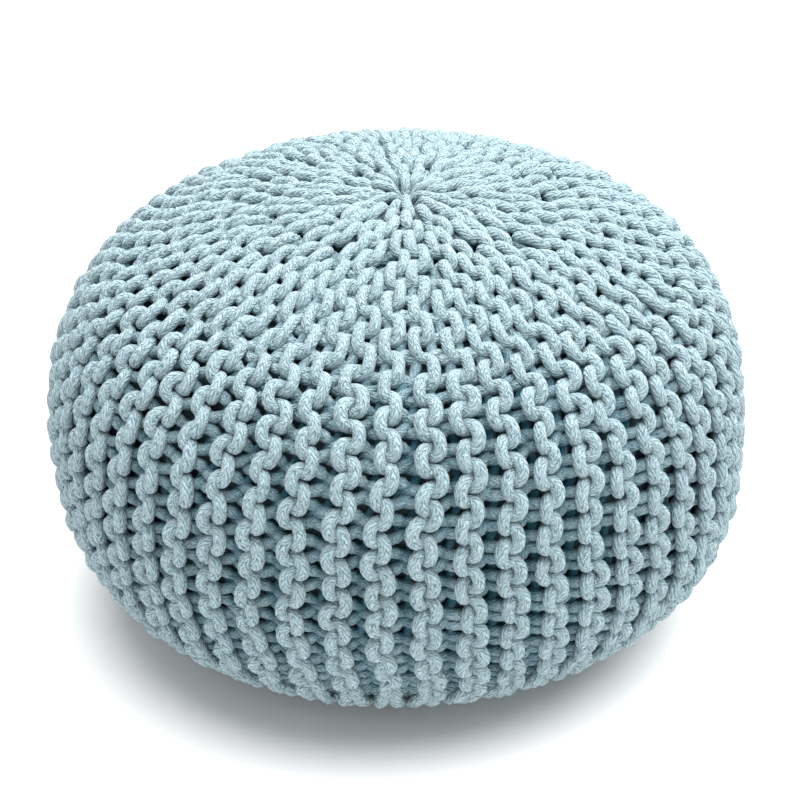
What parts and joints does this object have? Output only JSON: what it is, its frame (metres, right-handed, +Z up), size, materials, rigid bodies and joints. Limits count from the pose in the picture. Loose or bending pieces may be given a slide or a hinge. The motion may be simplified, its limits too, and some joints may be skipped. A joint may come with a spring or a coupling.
{
  "type": "knitted pouf",
  "caption": "Round floor pouf: thick garter-stitch cover with upright ridges, drawn to a gather at the crown, over a filled cloth casing, flat underneath.",
  "frame": {"origin": "on the floor, under the middle of the pouf's outline", "axes": "+Z up through the crown; -Y is the side that the picture shows; +X to the right of it"},
  "size_m": [0.5302, 0.5294, 0.3307],
  "materials": {
    "cotton_cord": "matt, slightly fuzzy pale ice-blue cotton cord in thick garter stitch",
    "casing_cloth": "smooth matt slate-blue woven cloth"
  },
  "bodies": {
    "root": {"knitted_cover": "cotton_cord", "inner_casing": "casing_cloth"}
  },
  "joints": []
}
